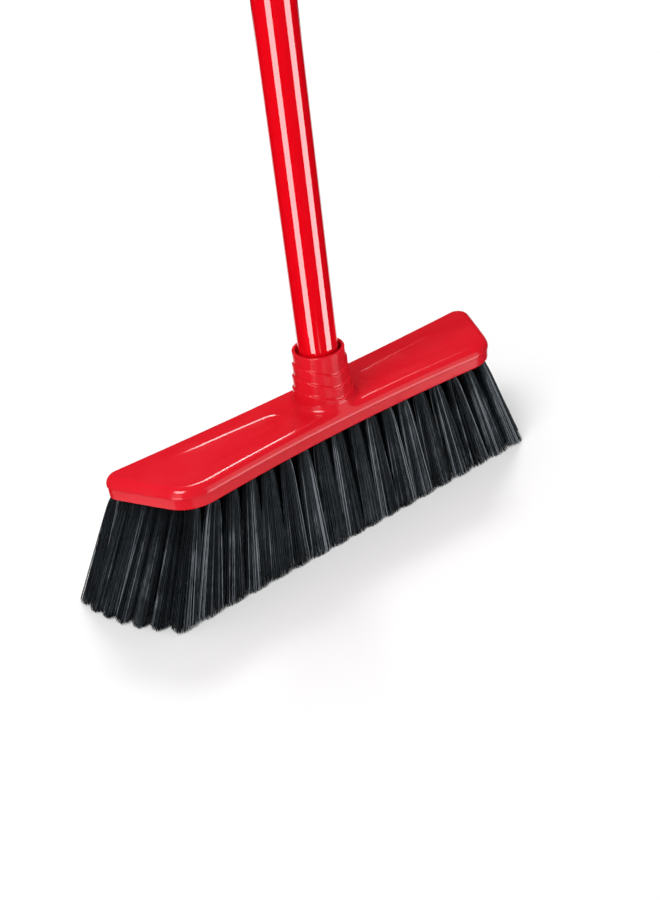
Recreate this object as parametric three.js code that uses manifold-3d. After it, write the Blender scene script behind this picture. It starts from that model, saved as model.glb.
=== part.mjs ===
// Push broom: a moulded block with an integral screw socket, flared bristle tufts, and a coated steel
// handle that screws into the socket. Millimetres, +Z up. The origin is where the handle's axis meets the
// plane of the bristle tips; X runs along the block, and -Y is the block's shorter, front side.
import * as THREE from "three";
import { mergeVertices } from "three/addons/utils/BufferGeometryUtils.js";
import Module from "manifold-3d";

const wasm = await Module();
wasm.setup();

// Bristles
const BRISTLE_LENGTH = 66; // from the block's underside to the tips
const TUFT_ROWS = 7;
const FRONT_ROW_TUFTS = 18; // each row behind it has one more, so the rows are staggered
const TUFT_RADIUS = 2.1;
const HOLE_DEPTH = 9;
const FRONT_ROW_HALF = 102; // half-length of the front row at the block
const BACK_ROW_HALF = 124.5;
const FRONT_TIPS_HALF = 124; // half-length of the front row at the tips
const BACK_TIPS_HALF = 147;
const FRONT_TIPS_Y = -21;
const BACK_TIPS_Y = 36.6;
const FLARE_POWER = 1.6; // tufts near the ends lean out more than those near the middle
const TIP_REACH = 5.5; // how far an outer tuft spreads past its own tip's centre
const OUTER_TUFT_SIDES = 8;
const INNER_TUFT_SIDES = 4;
const HOLE_SIDES = 6;

// Block
const BLOCK_HEIGHT = 12;
const BACK_LENGTH = 268;
const FRONT_LENGTH = 212.6;
const BLOCK_WIDTH = 54.9;
const BACK_CORNER = 8;
const FRONT_CORNER = 24;
const BACK_WAIST = 2.8; // how far the long sides curve in at the middle
const FRONT_WAIST = 7.1;
const TOP_FILLET = 5.2;
const EDGE_TO_ROW = 5.6; // from the block's edge to the outer rows of tufts
const CORNER_LIFT = 1.8; // how far the front row's end tufts stand back, inside the round corners
const CORNER_LIFT_POWER = 8;

// Socket
const RIM_HEIGHT = 31.5; // above the block's top
const RIM_RADIUS = 14.5;
const SOCKET_FOOT_RADIUS = 17;
const FOOT_FILLET = 4.3;
const MOUTH_RADIUS = 12.7;
const MOUTH_DEPTH = 9;
const THREAD_BORE_RADIUS = 10.4;
const BORE_FLOOR = 1; // above the block's top
const SOCKET_SUNK = 2; // how far the socket's foot reaches into the block

// Handle
const HANDLE_RADIUS = 11;
const COAT_WALL = 0.4;
const TUBE_WALL = 0.5;
const TUBE_LENGTH = 1200;
const THREAD_PITCH = 5;
const THREAD_CORE_RADIUS = 8.8;
const THREAD_CREST_RADIUS = 9.9;
const RIDGE_FOOT_HALF = 1.4; // half the width of a thread ridge where it meets the core
const RIDGE_CREST_HALF = 0.5;
const INSERT_HOLLOW_RADIUS = 6.5;
const SHOULDER_HEIGHT = 1.8;
const SPIGOT_LENGTH = 26;
const CAP_WALL = 1.2;
const CAP_HEIGHT = 7; // from the underside of the cap's lid to the flat round its eye
const CAP_FILLET = 5;
const SKIRT_LENGTH = 16;
const EYE_HEIGHT = 30;
const EYE_WIDTH = 19;
const EYE_THICKNESS = 7;
const EYE_HOLE_WIDTH = 9;
const EYE_HOLE_HEIGHT = 15;

const GAP = 0.3; // between pieces that touch
const FILM = 0.1; // between the tube and its coat
const ROUND = 28; // sides of a turned piece
const FILLET_SEGMENTS = 4;
const CORNER_SEGMENTS = 6;
const EYE_SEGMENTS = 10;
const OUTLINE_STEP = 16; // the longest straight piece of the block's outline
const WELD = 1e-4; // vertices closer than this are one

const BLOCK_BOTTOM = BRISTLE_LENGTH;
const BLOCK_TOP = BLOCK_BOTTOM + BLOCK_HEIGHT;
const RIM = BLOCK_TOP + RIM_HEIGHT;
const LEDGE = RIM - MOUTH_DEPTH;
const TUBE_BOTTOM = LEDGE + GAP + SHOULDER_HEIGHT + GAP;
const TUBE_TOP = TUBE_BOTTOM + TUBE_LENGTH;
const TUBE_RADIUS = HANDLE_RADIUS - COAT_WALL - FILM;
const TUBE_BORE = TUBE_RADIUS - TUBE_WALL;
const MIDDLE_HALF_LENGTH = (BACK_LENGTH + FRONT_LENGTH) / 4; // of the block, halfway to its back

const RED_MOULDED = new THREE.MeshStandardMaterial({ color: 0xe01c26, roughness: 0.3, metalness: 0 });
const RED_COAT = new THREE.MeshStandardMaterial({ color: 0xe80012, roughness: 0.15, metalness: 0 });
const STEEL = new THREE.MeshStandardMaterial({ color: 0x9a9c9f, roughness: 0.35, metalness: 1 });
const DARK_PLASTIC = new THREE.MeshStandardMaterial({ color: 0x1d1f22, roughness: 0.45, metalness: 0 });
const BRISTLE = new THREE.MeshStandardMaterial({ color: 0x14181b, roughness: 0.5, metalness: 0 });

const broom = new THREE.Group();

function addMesh(name, geometry, material) {
  const mesh = new THREE.Mesh(geometry, material);
  mesh.name = name;
  broom.add(mesh);
}

function solidOf(geometry) {
  const bare = geometry.clone();
  bare.deleteAttribute("normal");
  bare.deleteAttribute("uv");
  const merged = mergeVertices(bare, WELD);
  const vertProperties = merged.attributes.position.array;
  const triVerts = new Uint32Array(merged.index.array);
  return new wasm.Manifold(new wasm.Mesh({ numProp: 3, vertProperties, triVerts }));
}

function geometryOf(solid) {
  const { vertProperties, triVerts } = solid.getMesh();
  const geometry = new THREE.BufferGeometry();
  geometry.setAttribute("position", new THREE.BufferAttribute(vertProperties, 3));
  geometry.setIndex(new THREE.BufferAttribute(triVerts, 1));
  geometry.computeVertexNormals();
  return geometry;
}

// A turned piece about +Z from [radius, z] points, which run anticlockwise seen with z up.
function turned(points) {
  const profile = points.map(([radius, z]) => new THREE.Vector2(radius, z));
  return new THREE.LatheGeometry(profile, ROUND).rotateX(Math.PI / 2);
}

// A turned piece with a bore: its profile closes on itself.
const turnedRing = (points) => turned([...points, points[0]]);

// ---- Block ----

// How far a point of the outline at (x, y) moves in, because the long sides are waisted.
function waist(x, y) {
  const depth = y > 0 ? BACK_WAIST : FRONT_WAIST;
  const middle = Math.max(0, 1 - (x / MIDDLE_HALF_LENGTH) ** 2);
  return depth * middle * (y / (BLOCK_WIDTH / 2));
}

function blockShape() {
  const corners = [
    { x: -FRONT_LENGTH / 2, y: -BLOCK_WIDTH / 2, radius: FRONT_CORNER },
    { x: FRONT_LENGTH / 2, y: -BLOCK_WIDTH / 2, radius: FRONT_CORNER },
    { x: BACK_LENGTH / 2, y: BLOCK_WIDTH / 2, radius: BACK_CORNER },
    { x: -BACK_LENGTH / 2, y: BLOCK_WIDTH / 2, radius: BACK_CORNER },
  ];
  const outline = new THREE.Path();
  corners.forEach((corner, i) => {
    const here = new THREE.Vector2(corner.x, corner.y);
    const before = new THREE.Vector2(corners[(i + 3) % 4].x, corners[(i + 3) % 4].y).sub(here);
    const after = new THREE.Vector2(corners[(i + 1) % 4].x, corners[(i + 1) % 4].y).sub(here);
    const half = before.angleTo(after) / 2;
    const toCentre = before.clone().normalize().add(after.clone().normalize()).normalize();
    const centre = here.clone().addScaledVector(toCentre, corner.radius / Math.sin(half));
    const start = Math.atan2(before.x, -before.y);
    const end = Math.atan2(-after.x, after.y);
    outline.absarc(centre.x, centre.y, corner.radius, start, end, false);
  });
  outline.closePath();
  const points = [];
  const rough = outline.getPoints(CORNER_SEGMENTS);
  rough.slice(0, -1).forEach((a, i) => {
    const b = rough[i + 1];
    const steps = Math.max(1, Math.round(a.distanceTo(b) / OUTLINE_STEP));
    for (let k = 0; k < steps; k++) points.push(a.clone().lerp(b, k / steps));
  });
  points.forEach((p) => (p.y -= waist(p.x, p.y)));
  return new THREE.Shape(points);
}

function block() {
  const depth = 2 * BLOCK_HEIGHT; // its lower end and that end's own fillet are cut off below
  const slab = new THREE.ExtrudeGeometry(blockShape(), {
    depth,
    bevelEnabled: true,
    bevelThickness: TOP_FILLET,
    bevelSize: TOP_FILLET,
    bevelOffset: -TOP_FILLET,
    bevelSegments: FILLET_SEGMENTS,
  });
  slab.translate(0, 0, BLOCK_TOP - TOP_FILLET - depth);
  const above = new THREE.BoxGeometry(2 * BACK_LENGTH, 2 * BACK_LENGTH, 4 * BLOCK_HEIGHT);
  above.translate(0, 0, BLOCK_BOTTOM + 2 * BLOCK_HEIGHT);
  return solidOf(slab).intersect(solidOf(above));
}

function socket() {
  const sunk = BLOCK_TOP - SOCKET_SUNK;
  const arc = [];
  for (let k = 0; k <= FILLET_SEGMENTS; k++) {
    const angle = (k / FILLET_SEGMENTS) * (Math.PI / 2);
    const radius = SOCKET_FOOT_RADIUS + FOOT_FILLET * (1 - Math.sin(angle));
    arc.push([radius, BLOCK_TOP + FOOT_FILLET * (1 - Math.cos(angle))]);
  }
  return solidOf(
    turned([
      [0, sunk],
      [SOCKET_FOOT_RADIUS + FOOT_FILLET, sunk],
      ...arc,
      [RIM_RADIUS, RIM],
      [MOUTH_RADIUS, RIM],
      [MOUTH_RADIUS, LEDGE],
      [THREAD_BORE_RADIUS, LEDGE],
      [THREAD_BORE_RADIUS, BLOCK_TOP + BORE_FLOOR],
      [0, BLOCK_TOP + BORE_FLOOR],
    ]),
  );
}

// ---- Tufts ----

const lerp = THREE.MathUtils.lerp;

// The outer rows follow the block's waisted long sides, and the front one its round corners too.
function frontRowY(x) {
  const edge = -BLOCK_WIDTH / 2 + FRONT_WAIST * (1 - (x / MIDDLE_HALF_LENGTH) ** 2);
  return edge + EDGE_TO_ROW + CORNER_LIFT * (x / FRONT_ROW_HALF) ** CORNER_LIFT_POWER;
}

function backRowY(x) {
  const edge = BLOCK_WIDTH / 2 - BACK_WAIST * (1 - (x / (BACK_LENGTH / 2)) ** 2);
  return edge - EDGE_TO_ROW;
}

function makeTufts() {
  const rows = [];
  for (let row = 0; row < TUFT_ROWS; row++) {
    const back = row / (TUFT_ROWS - 1);
    const half = lerp(FRONT_ROW_HALF, BACK_ROW_HALF, back);
    const tipHalf = BACK_TIPS_HALF - (BACK_TIPS_HALF - FRONT_TIPS_HALF) * (1 - back) ** 2;
    const count = FRONT_ROW_TUFTS + row;
    const tufts = [];
    for (let k = 0; k < count; k++) {
      const along = (2 * k) / (count - 1) - 1;
      const x = along * half;
      const flare = Math.sign(along) * (tipHalf - half) * Math.abs(along) ** FLARE_POWER;
      const outer = row === 0 || row === TUFT_ROWS - 1 || k === 0 || k === count - 1;
      const root = new THREE.Vector2(x, lerp(frontRowY(x * (FRONT_ROW_HALF / half)), backRowY(x), back));
      const tip = new THREE.Vector2(x + flare, lerp(FRONT_TIPS_Y, BACK_TIPS_Y, back));
      tufts.push({ row, k, outer, root, tip });
    }
    rows.push(tufts);
  }
  return rows;
}

// How far a tuft spreads to each side at the tips: inner tufts merge with each other, outer ones stay clear.
function spreadOf(rows, tuft) {
  const line = rows[tuft.row];
  const rowStep = (BACK_TIPS_Y - FRONT_TIPS_Y) / (TUFT_ROWS - 1);
  const halfway = (distance, merges) => distance / 2 + (merges ? GAP : -2 * GAP);
  const sideways = (other) => {
    if (!other) return TIP_REACH;
    return halfway(Math.abs(other.tip.x - tuft.tip.x), !tuft.outer && !other.outer);
  };
  const lengthways = (row) => {
    if (row < 0 || row >= TUFT_ROWS) return TIP_REACH;
    return halfway(rowStep, !tuft.outer && row > 0 && row < TUFT_ROWS - 1);
  };
  return {
    left: sideways(line[tuft.k - 1]),
    right: sideways(line[tuft.k + 1]),
    front: lengthways(tuft.row - 1),
    back: lengthways(tuft.row + 1),
  };
}

// A tapered bundle: straight up its hole as far as top, and spreading from the block to the tips.
function bundle(tuft, sides, radius, spread, top) {
  const levels = [0, BLOCK_BOTTOM, top];
  const body = new THREE.CylinderGeometry(1, 1, 1, sides, levels.length - 1);
  body.rotateX(Math.PI / 2).rotateZ(Math.PI / sides);
  const flat = Math.cos(Math.PI / sides);
  const at = body.attributes.position;
  for (let i = 0; i < at.count; i++) {
    const level = levels[Math.round((at.getZ(i) + 0.5) * (levels.length - 1))];
    const rise = level / BLOCK_BOTTOM;
    const wide = Math.max(0, 1 - rise);
    const [sx, sy] = [at.getX(i), at.getY(i)];
    const spreadX = (sx < 0 ? spread.left : spread.right) / flat;
    const spreadY = (sy < 0 ? spread.front : spread.back) / flat;
    const x = lerp(tuft.tip.x, tuft.root.x, rise) + sx * lerp(radius, spreadX, wide);
    const y = lerp(tuft.tip.y, tuft.root.y, rise) + sy * lerp(radius, spreadY, wide);
    at.setXYZ(i, x, y, level);
  }
  return body;
}

function tuftBody(tuft) {
  const sides = tuft.outer ? OUTER_TUFT_SIDES : INNER_TUFT_SIDES;
  return bundle(tuft, sides, TUFT_RADIUS, spreadOf(rows, tuft), BLOCK_BOTTOM + HOLE_DEPTH);
}

function tuftHole(tuft) {
  const radius = (TUFT_RADIUS + GAP) / Math.cos(Math.PI / HOLE_SIDES);
  const spread = { left: radius, right: radius, front: radius, back: radius };
  return solidOf(bundle(tuft, HOLE_SIDES, radius, spread, BLOCK_BOTTOM + HOLE_DEPTH + GAP));
}

function tuftName(tuft) {
  const number = (n) => String(n).padStart(2, "0");
  if (tuft.row === 0) return "front_tuft_" + number(tuft.k + 1);
  if (tuft.row === TUFT_ROWS - 1) return "back_tuft_" + number(tuft.k + 1);
  return (tuft.k === 0 ? "left_end_tuft_" : "right_end_tuft_") + number(tuft.row);
}

const rows = makeTufts();
const tufts = rows.flat();
const union = (solids) => solids.reduce((a, b) => a.add(b));

const holes = union(tufts.map(tuftHole));
addMesh("head", geometryOf(block().add(socket()).subtract(holes)), RED_MOULDED);
for (const tuft of tufts.filter((t) => t.outer)) addMesh(tuftName(tuft), tuftBody(tuft), BRISTLE);
const inner = tufts.filter((t) => !t.outer).map((t) => solidOf(tuftBody(t)));
addMesh("inner_tufts", geometryOf(union(inner)), BRISTLE);

// ---- Handle ----

function threadInsert() {
  const bottom = BLOCK_TOP + BORE_FLOOR + GAP;
  const shoulder = LEDGE + GAP;
  const hollow = INSERT_HOLLOW_RADIUS;
  const ridges = [];
  for (let z = bottom + THREAD_PITCH / 2; z < shoulder - THREAD_PITCH / 2; z += THREAD_PITCH) {
    ridges.push([THREAD_CORE_RADIUS, z - RIDGE_FOOT_HALF]);
    ridges.push([THREAD_CREST_RADIUS, z - RIDGE_CREST_HALF]);
    ridges.push([THREAD_CREST_RADIUS, z + RIDGE_CREST_HALF]);
    ridges.push([THREAD_CORE_RADIUS, z + RIDGE_FOOT_HALF]);
  }
  return turnedRing([
    [hollow, bottom],
    [THREAD_CORE_RADIUS, bottom],
    ...ridges,
    [THREAD_CORE_RADIUS, shoulder],
    [TUBE_RADIUS, shoulder],
    [TUBE_RADIUS, shoulder + SHOULDER_HEIGHT],
    [TUBE_BORE - GAP, shoulder + SHOULDER_HEIGHT],
    [TUBE_BORE - GAP, shoulder + SHOULDER_HEIGHT + SPIGOT_LENGTH],
    [hollow, shoulder + SHOULDER_HEIGHT + SPIGOT_LENGTH],
  ]);
}

function sleeve(inside, outside, bottom, top) {
  return turnedRing([
    [inside, bottom],
    [outside, bottom],
    [outside, top],
    [inside, top],
  ]);
}

// The cap's skirt goes over the handle's end, its plug goes inside, and its eye hangs the broom up.
function hangerCap() {
  const skirt = HANDLE_RADIUS + GAP + CAP_WALL;
  const lid = TUBE_TOP + GAP;
  const dome = [];
  for (let k = 0; k <= FILLET_SEGMENTS; k++) {
    const angle = (k / FILLET_SEGMENTS) * (Math.PI / 2);
    const radius = skirt - CAP_FILLET * (1 - Math.cos(angle));
    dome.push([radius, lid + CAP_HEIGHT - CAP_FILLET * (1 - Math.sin(angle))]);
  }
  const body = turned([
    [0, TUBE_TOP - SKIRT_LENGTH],
    [TUBE_BORE - GAP, TUBE_TOP - SKIRT_LENGTH],
    [TUBE_BORE - GAP, lid],
    [HANDLE_RADIUS + GAP, lid],
    [HANDLE_RADIUS + GAP, TUBE_TOP - SKIRT_LENGTH],
    [skirt, TUBE_TOP - SKIRT_LENGTH],
    ...dome,
    [0, lid + CAP_HEIGHT],
  ]);
  const tab = new THREE.Shape();
  const side = EYE_WIDTH / 2;
  tab.moveTo(-side, 0);
  tab.lineTo(side, 0);
  tab.lineTo(side, EYE_HEIGHT - side);
  tab.absarc(0, EYE_HEIGHT - side, side, 0, Math.PI, false);
  const hole = new THREE.Path();
  const bend = EYE_HOLE_WIDTH / 2;
  const holeTop = EYE_HEIGHT - side;
  hole.absarc(0, holeTop, bend, 0, Math.PI, false);
  hole.absarc(0, holeTop - (EYE_HOLE_HEIGHT - EYE_HOLE_WIDTH), bend, Math.PI, 2 * Math.PI, false);
  tab.holes.push(hole);
  const eye = new THREE.ExtrudeGeometry(tab, {
    depth: EYE_THICKNESS,
    bevelEnabled: false,
    curveSegments: EYE_SEGMENTS,
  });
  eye.translate(0, 0, -EYE_THICKNESS / 2);
  eye.rotateX(Math.PI / 2);
  eye.translate(0, 0, lid + CAP_HEIGHT - CAP_FILLET);
  return geometryOf(solidOf(body).add(solidOf(eye)));
}

addMesh("thread_insert", threadInsert(), DARK_PLASTIC);
addMesh("handle_tube", sleeve(TUBE_BORE, TUBE_RADIUS, TUBE_BOTTOM, TUBE_TOP), STEEL);
addMesh("handle_coat", sleeve(HANDLE_RADIUS - COAT_WALL, HANDLE_RADIUS, TUBE_BOTTOM, TUBE_TOP), RED_COAT);
addMesh("hanger_cap", hangerCap(), RED_MOULDED);

export default broom;
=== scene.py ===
# Push broom: the look of every piece, in metres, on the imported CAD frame.
import math

import bpy
import numpy as np
from mathutils import Matrix, Vector
from mathutils.geometry import delaunay_2d_cdt

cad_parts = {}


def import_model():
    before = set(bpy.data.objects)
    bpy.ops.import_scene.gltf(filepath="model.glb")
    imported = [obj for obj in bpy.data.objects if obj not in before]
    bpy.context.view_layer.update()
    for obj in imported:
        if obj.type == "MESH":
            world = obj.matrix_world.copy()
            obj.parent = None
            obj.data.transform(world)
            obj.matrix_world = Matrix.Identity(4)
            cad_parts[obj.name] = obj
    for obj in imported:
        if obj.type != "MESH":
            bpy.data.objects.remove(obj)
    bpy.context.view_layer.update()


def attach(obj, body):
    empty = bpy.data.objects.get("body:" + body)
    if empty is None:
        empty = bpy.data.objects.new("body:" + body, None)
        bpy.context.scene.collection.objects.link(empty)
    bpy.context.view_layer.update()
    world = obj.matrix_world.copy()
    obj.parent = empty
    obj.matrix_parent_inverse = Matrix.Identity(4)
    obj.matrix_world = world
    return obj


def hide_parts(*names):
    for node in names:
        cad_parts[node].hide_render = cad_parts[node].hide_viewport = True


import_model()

MM = 0.001
RNG = np.random.default_rng(20)

# ---- Dimensions, in millimetres, as in the CAD except where marked ----

BRISTLE_LENGTH = 66
TUFT_ROWS = 7
FRONT_ROW_TUFTS = 18
TUFT_RADIUS = 2.1
HOLE_DEPTH = 9
FRONT_ROW_HALF = 102
BACK_ROW_HALF = 124.5
FRONT_TIPS_HALF = 124
BACK_TIPS_HALF = 147
FRONT_TIPS_Y = -21
BACK_TIPS_Y = 36.6
FLARE_POWER = 1.6
TIP_REACH = 5.5
CORNER_LIFT = 1.8
CORNER_LIFT_POWER = 8
EDGE_TO_ROW = 5.6

BLOCK_HEIGHT = 12
BACK_LENGTH = 268
FRONT_LENGTH = 212.6
BLOCK_WIDTH = 54.9
BACK_CORNER = 8
FRONT_CORNER = 24
BACK_WAIST = 2.8
FRONT_WAIST = 7.1
TOP_FILLET = 5.2

RIM_HEIGHT = 31.5
RIM_RADIUS = 14.5
SOCKET_FOOT_RADIUS = 16.8  # 17 in the CAD
FOOT_FILLET = 4.3
MOUTH_RADIUS = 12.7
MOUTH_DEPTH = 9
THREAD_BORE_RADIUS = 10.4
BORE_FLOOR = 1

HANDLE_RADIUS = 11
COAT_WALL = 0.4
TUBE_WALL = 0.5
TUBE_LENGTH = 1200
THREAD_PITCH = 5
THREAD_CORE_RADIUS = 8.8
THREAD_CREST_RADIUS = 9.9
INSERT_HOLLOW_RADIUS = 6.5
SHOULDER_HEIGHT = 1.8
SPIGOT_LENGTH = 26
CAP_WALL = 1.2
CAP_HEIGHT = 7
CAP_FILLET = 5
SKIRT_LENGTH = 16
EYE_HEIGHT = 30
EYE_WIDTH = 19
EYE_THICKNESS = 7
EYE_HOLE_WIDTH = 9
EYE_HOLE_HEIGHT = 15
GAP = 0.3
FILM = 0.1

BLOCK_BOTTOM = BRISTLE_LENGTH
BLOCK_TOP = BLOCK_BOTTOM + BLOCK_HEIGHT
RIM = BLOCK_TOP + RIM_HEIGHT
LEDGE = RIM - MOUTH_DEPTH
TUBE_BOTTOM = LEDGE + GAP + SHOULDER_HEIGHT + GAP
TUBE_TOP = TUBE_BOTTOM + TUBE_LENGTH
TUBE_RADIUS = HANDLE_RADIUS - COAT_WALL - FILM
TUBE_BORE = TUBE_RADIUS - TUBE_WALL
MIDDLE_HALF_LENGTH = (BACK_LENGTH + FRONT_LENGTH) / 4

# ---- Meshes ----

WELD = 0.002  # points closer than this are one
CREASE = math.radians(35)  # edges that turn further than this stay sharp


def link(name, mesh, material, body, stands_for):
    mesh.materials.append(material)
    piece = bpy.data.objects.new(name, mesh)
    bpy.context.scene.collection.objects.link(piece)
    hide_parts(*stands_for)
    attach(piece, body)


def mesh_from(name, points, faces):
    """A smooth, welded mesh from points in millimetres."""
    points = np.asarray(points, float)
    keys = np.round(points / WELD).astype(np.int64)
    _, first, back = np.unique(keys, axis=0, return_index=True, return_inverse=True)
    back = back.reshape(-1)
    kept = []
    for face in faces:
        ring = []
        for i in face:
            j = int(back[i])
            if j not in ring:
                ring.append(j)
        if len(ring) > 2:
            kept.append(ring)
    mesh = bpy.data.meshes.new(name)
    mesh.from_pydata((points[first] * MM).tolist(), [], kept)
    mesh.validate()
    mesh.shade_smooth()
    mesh.set_sharp_from_angle(angle=CREASE)
    return mesh


class Shell:
    """Points and faces being gathered into one mesh."""

    def __init__(self):
        self.points = []
        self.faces = []

    def rings(self, rings, flip=False):
        """Joins each closed ring of points to the next, which has as many points."""
        start = len(self.points)
        count = len(rings[0])
        for ring in rings:
            self.points.extend(tuple(p) for p in ring)
        for i in range(len(rings) - 1):
            for k in range(count):
                a = start + i * count + k
                b = start + i * count + (k + 1) % count
                face = [a, b, b + count, a + count]
                self.faces.append(face[::-1] if flip else face)

    def fan(self, ring, flip=False):
        start = len(self.points)
        self.points.extend(tuple(p) for p in ring)
        face = list(range(start, start + len(ring)))
        self.faces.append(face[::-1] if flip else face)

    def triangles(self, points, faces, flip=False):
        start = len(self.points)
        self.points.extend(tuple(p) for p in points)
        for face in faces:
            moved = [start + i for i in face]
            self.faces.append(moved[::-1] if flip else moved)


def arc(count, begin=0.0, end=90.0):
    return [math.radians(begin + (end - begin) * k / count) for k in range(count + 1)]


def turned_rings(profile, count):
    """Rings about Z from (radius, z) pairs."""
    angles = 2 * math.pi * np.arange(count) / count
    return [
        np.stack([r * np.cos(angles), r * np.sin(angles), np.full(count, z)], 1)
        for r, z in profile
    ]


# ---- The block's outline ----

SIDE_STEPS = (72, 16, 84, 16)  # along the front, right end, back and left end
FRONT_CORNER_STEPS = 22
BACK_CORNER_STEPS = 14


def outline():
    """The block's edge at its widest as points, and the inward normal at each."""
    corners = [
        (-FRONT_LENGTH / 2, -BLOCK_WIDTH / 2, FRONT_CORNER),
        (FRONT_LENGTH / 2, -BLOCK_WIDTH / 2, FRONT_CORNER),
        (BACK_LENGTH / 2, BLOCK_WIDTH / 2, BACK_CORNER),
        (-BACK_LENGTH / 2, BLOCK_WIDTH / 2, BACK_CORNER),
    ]
    arcs = []
    for i, (x, y, radius) in enumerate(corners):
        here = Vector((x, y))
        before = Vector(corners[i - 1][:2]) - here
        after = Vector(corners[(i + 1) % 4][:2]) - here
        middle = (before.normalized() + after.normalized()).normalized()
        centre = here + middle * radius / math.sin(before.angle(after) / 2)
        start = math.atan2(before.x, -before.y)
        end = math.atan2(-after.x, after.y)
        if end < start:
            end += 2 * math.pi
        count = FRONT_CORNER_STEPS if radius == FRONT_CORNER else BACK_CORNER_STEPS
        turn = np.linspace(start, end, count + 1)
        arcs.append(
            np.stack([centre.x + radius * np.cos(turn), centre.y + radius * np.sin(turn)], 1)
        )
    points = []
    for i, here in enumerate(arcs):
        points.extend(here)
        there = arcs[(i + 1) % 4][0]
        for k in range(1, SIDE_STEPS[i]):
            points.append(here[-1] + (there - here[-1]) * k / SIDE_STEPS[i])
    points = np.array(points)
    x, y = points.T
    depth = np.where(y > 0, BACK_WAIST, FRONT_WAIST)
    middle = np.maximum(0, 1 - (x / MIDDLE_HALF_LENGTH) ** 2)
    points[:, 1] = y - depth * middle * y / (BLOCK_WIDTH / 2)
    along = np.roll(points, -1, 0) - np.roll(points, 1, 0)
    normal = np.stack([-along[:, 1], along[:, 0]], 1)
    return points, normal / np.linalg.norm(normal, axis=1, keepdims=True)


OUTLINE, INWARD = outline()


def edge_ring(inset, z):
    ring = OUTLINE + INWARD * inset
    return np.column_stack([ring, np.full(len(ring), z)])


def edge_distance(points):
    """How far each point lies inside the outline."""
    a = OUTLINE
    ab = np.roll(OUTLINE, -1, 0) - a
    best = np.full(len(points), 1e9)
    for k in range(len(a)):
        ap = points - a[k]
        t = np.clip(ap @ ab[k] / (ab[k] @ ab[k]), 0, 1)
        gap = ap - t[:, None] * ab[k]
        best = np.minimum(best, np.hypot(gap[:, 0], gap[:, 1]))
    return best


# ---- The block's top ----

# Two shallow panels start beside the socket, widen outwards and fade into the flat top.
PANEL_DEPTH = 0.5
PANEL_START = 27.5  # from the block's middle
PANEL_WIDENS_FROM = 28
PANEL_WIDENS_OVER = 62
PANEL_HALF_WIDTH = 7.0  # before it widens
PANEL_BACK_GROWTH = 5.2
PANEL_FRONT_GROWTH = 6.0
PANEL_CORNER = 6.5
PANEL_EDGE = 1.9  # the width of its crisp edge
PANEL_FRONT_STEEPNESS = 0.45  # of the front edge, against 1 for the back edge
PANEL_EDGE_SHARE = 0.45  # of the depth is reached at the edge
PANEL_DISH = 9  # and the rest this far inside
PANEL_FADES_FROM = 74
PANEL_FADES_OVER = 30


def smooth(t):
    t = np.clip(t, 0, 1)
    return t * t * (3 - 2 * t)


def panel_edges(u):
    """The back and front edges of the shallow panel at u along the block from its middle."""
    grow = np.clip((u - PANEL_WIDENS_FROM) / PANEL_WIDENS_OVER, 0, 2)
    high = PANEL_HALF_WIDTH + PANEL_BACK_GROWTH * np.sqrt(grow)
    low = -(PANEL_HALF_WIDTH + PANEL_FRONT_GROWTH * grow)
    return high, low


def panel_sink(x, y):
    """How deep the two shallow panels lie below the top."""
    u = np.abs(x)
    high, low = panel_edges(u)
    # the back edge is crisp and the front edge soft
    from_side = np.minimum(high - y, PANEL_FRONT_STEEPNESS * (y - low))
    # the inner end is round
    from_end = u - PANEL_START
    out_x = np.maximum(PANEL_CORNER - from_end, 0)
    out_y = np.maximum(PANEL_CORNER - from_side, 0)
    inside = PANEL_CORNER - np.hypot(out_x, out_y)
    crisp = smooth(inside / PANEL_EDGE)
    dish = PANEL_EDGE_SHARE + (1 - PANEL_EDGE_SHARE) * smooth(inside / PANEL_DISH)
    fade = 1 - smooth((u - PANEL_FADES_FROM) / PANEL_FADES_OVER)
    return PANEL_DEPTH * crisp * dish * fade


def foot_rise(radius):
    reach = np.clip(SOCKET_FOOT_RADIUS + FOOT_FILLET - radius, 0, FOOT_FILLET)
    return FOOT_FILLET - np.sqrt(np.maximum(FOOT_FILLET**2 - reach**2, 0))


def top_height(points):
    """The height of the block's top at points inside its edge."""
    inset = np.minimum(edge_distance(points), TOP_FILLET)
    drop = TOP_FILLET - np.sqrt(np.maximum(TOP_FILLET**2 - (TOP_FILLET - inset) ** 2, 0))
    x, y = points.T
    return BLOCK_TOP - drop + foot_rise(np.hypot(x, y)) - panel_sink(x, y)


SOCKET_SIDES = 192
EDGE_TURN = 40  # degrees of the fillet that are lofted; the rest belongs to the top
GRID_STEP = 1.5  # between the points of the top
CLEARANCE = 1  # between those points and the rings round them
FOOT_EDGE = SOCKET_FOOT_RADIUS + FOOT_FILLET
PANEL_PROBE = 1.3
PANEL_TURN = 0.09  # a sink that changes more than this within PANEL_PROBE needs finer points


def circle(radius, count):
    turn = 2 * math.pi * np.arange(count) / count
    return np.stack([radius * np.cos(turn), radius * np.sin(turn)], 1)


def triangulate(loops, loose):
    """Constrained triangles over closed loops and loose points; returns points and faces."""
    coords, edges = [], []
    for loop in loops:
        start = len(coords)
        count = len(loop)
        coords.extend(Vector(p) for p in loop)
        edges.extend((start + k, start + (k + 1) % count) for k in range(count))
    coords.extend(Vector(p) for p in loose)
    found = delaunay_2d_cdt(coords, edges, [], 1, 1e-5, False)
    return np.array([tuple(v) for v in found[0]]), [list(f) for f in found[2]]


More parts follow.
